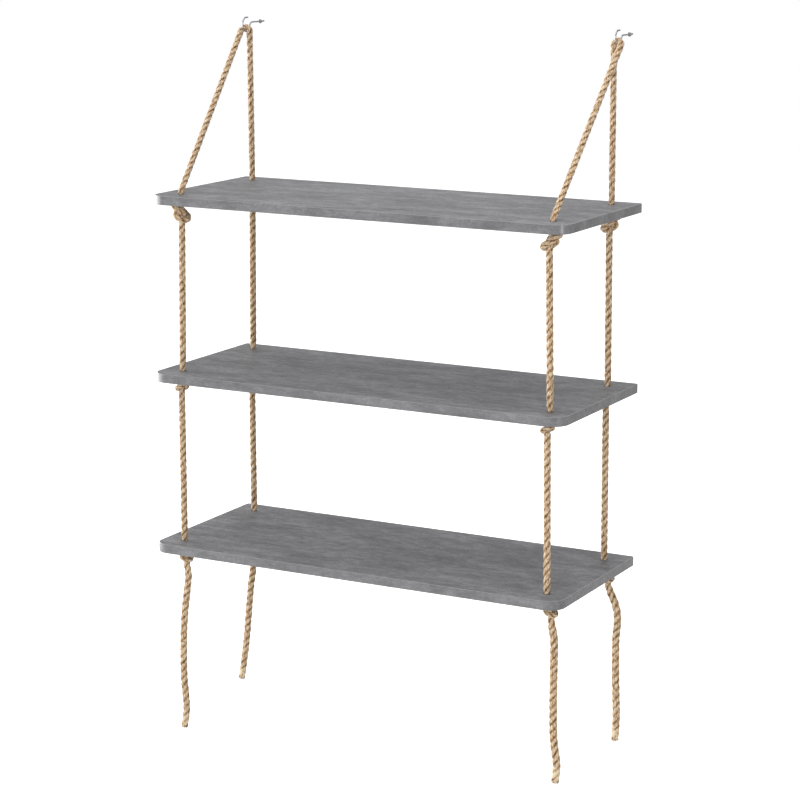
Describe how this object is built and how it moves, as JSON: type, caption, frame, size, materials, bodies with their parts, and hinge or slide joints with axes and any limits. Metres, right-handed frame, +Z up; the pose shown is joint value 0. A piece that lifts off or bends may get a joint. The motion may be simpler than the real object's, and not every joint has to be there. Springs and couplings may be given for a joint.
{
  "type": "hanging rope shelf",
  "caption": "Hanging shelf of rounded concrete-look boards threaded on knotted jute ropes, slung from wire hooks in the wall, with free rope ends below.",
  "frame": {"origin": "on the wall, midway between the hooks and level with their shanks", "axes": "+X along the boards to the right as seen from the room, +Y into the wall, +Z up"},
  "size_m": [0.6, 0.263, 0.9665],
  "materials": {
    "board": "grey concrete-look laminate, matt",
    "edge": "grey edge band, satin",
    "rope": "natural jute, laid in strands",
    "hook": "bright zinc plated wire"
  },
  "bodies": {
    "hooks": {"left_wall_hook": "hook", "right_wall_hook": "hook"},
    "hung_ropes": {"left_rope_over_hook": "rope", "right_rope_over_hook": "rope"},
    "left_sling": {"left_front_sling_leg": "rope", "left_rear_sling_leg": "rope"},
    "right_sling": {"right_front_sling_leg": "rope", "right_rear_sling_leg": "rope"},
    "top_tier": {"top_board": "board", "top_edge_band": "edge", "top_left_front_knot": "rope", "top_left_rear_knot": "rope", "top_right_front_knot": "rope", "top_right_rear_knot": "rope"},
    "upper_rear_ropes": {"upper_left_rear_rope": "rope", "upper_right_rear_rope": "rope"},
    "upper_front_ropes": {"upper_left_front_rope": "rope", "upper_right_front_rope": "rope"},
    "middle_tier": {"middle_board": "board", "middle_edge_band": "edge", "middle_left_front_knot": "rope", "middle_left_rear_knot": "rope", "middle_right_front_knot": "rope", "middle_right_rear_knot": "rope"},
    "lower_rear_ropes": {"lower_left_rear_rope": "rope", "lower_right_rear_rope": "rope"},
    "lower_front_ropes": {"lower_left_front_rope": "rope", "lower_right_front_rope": "rope"},
    "bottom_tier": {"bottom_board": "board", "bottom_edge_band": "edge", "bottom_left_front_knot": "rope", "bottom_left_rear_knot": "rope", "bottom_right_front_knot": "rope", "bottom_right_rear_knot": "rope"},
    "left_front_end": {"left_front_tail": "rope"},
    "left_rear_end": {"left_rear_tail": "rope"},
    "right_front_end": {"right_front_tail": "rope"},
    "right_rear_end": {"right_rear_tail": "rope"}
  },
  "joints": [
    {"name": "shelf_swing", "type": "hinge", "parent": "hooks", "child": "hung_ropes", "pos_m": [0, -0.0385, -0.0025], "axis": [-1, 0, 0], "range_deg": [0, 20]},
    {"name": "left_sling_sway", "type": "hinge", "parent": "hung_ropes", "child": "left_sling", "pos_m": [-0.276, -0.0385, -0.012], "axis": [0, -1, 0], "range_deg": [-12, 12]},
    {"name": "right_sling_sway", "type": "hinge", "parent": "hung_ropes", "child": "right_sling", "pos_m": [0.276, -0.0385, -0.012], "axis": [0, -1, 0], "range_deg": [-12.1, 12.1]},
    {"name": "top_board_tip", "type": "hinge", "parent": "left_sling", "child": "top_tier", "pos_m": [-0.27, -0.126, -0.2155], "axis": [0, -1, 0], "range_deg": [-12.5, 12.5]},
    {"name": "upper_rope_swing", "type": "hinge", "parent": "top_tier", "child": "upper_rear_ropes", "pos_m": [0, -0.034, -0.26058], "axis": [-1, 0, 0], "range_deg": [-20, 20]},
    {"name": "upper_front_rope_swing", "type": "hinge", "parent": "top_tier", "child": "upper_front_ropes", "pos_m": [0, -0.218, -0.26058], "axis": [-1, 0, 0], "range_deg": [-20.2, 20.2]},
    {"name": "middle_board_level", "type": "hinge", "parent": "upper_rear_ropes", "child": "middle_tier", "pos_m": [0, -0.034, -0.4545], "axis": [-1, 0, 0], "range_deg": [-20.2, 20.2]},
    {"name": "lower_rope_swing", "type": "hinge", "parent": "middle_tier", "child": "lower_rear_ropes", "pos_m": [0, -0.034, -0.49092], "axis": [-1, 0, 0], "range_deg": [-20, 20]},
    {"name": "lower_front_rope_swing", "type": "hinge", "parent": "middle_tier", "child": "lower_front_ropes", "pos_m": [0, -0.218, -0.49092], "axis": [-1, 0, 0], "range_deg": [-20.2, 20.2]},
    {"name": "bottom_board_level", "type": "hinge", "parent": "lower_rear_ropes", "child": "bottom_tier", "pos_m": [0, -0.034, -0.6895], "axis": [-1, 0, 0], "range_deg": [-20.2, 20.2]},
    {"name": "left_front_end_swing", "type": "hinge", "parent": "bottom_tier", "child": "left_front_end", "pos_m": [-0.26677, -0.218, -0.72592], "axis": [0, -1, 0], "range_deg": [-30, 30]},
    {"name": "left_rear_end_swing", "type": "hinge", "parent": "bottom_tier", "child": "left_rear_end", "pos_m": [-0.27193, -0.034, -0.72592], "axis": [0, -1, 0], "range_deg": [-30, 30]},
    {"name": "right_front_end_swing", "type": "hinge", "parent": "bottom_tier", "child": "right_front_end", "pos_m": [0.27323, -0.218, -0.72592], "axis": [0, -1, 0], "range_deg": [-30, 30]},
    {"name": "right_rear_end_swing", "type": "hinge", "parent": "bottom_tier", "child": "right_rear_end", "pos_m": [0.27323, -0.034, -0.72592], "axis": [0, -1, 0], "range_deg": [-30, 30]}
  ],
  "couplings": [
    {"joint": "right_sling_sway", "follows": "left_sling_sway", "ratio": 1},
    {"joint": "top_board_tip", "follows": "left_sling_sway", "ratio": -1.0222},
    {"joint": "upper_front_rope_swing", "follows": "upper_rope_swing", "ratio": 1},
    {"joint": "middle_board_level", "follows": "upper_rope_swing", "ratio": -1},
    {"joint": "lower_front_rope_swing", "follows": "lower_rope_swing", "ratio": 1},
    {"joint": "bottom_board_level", "follows": "lower_rope_swing", "ratio": -1}
  ]
}
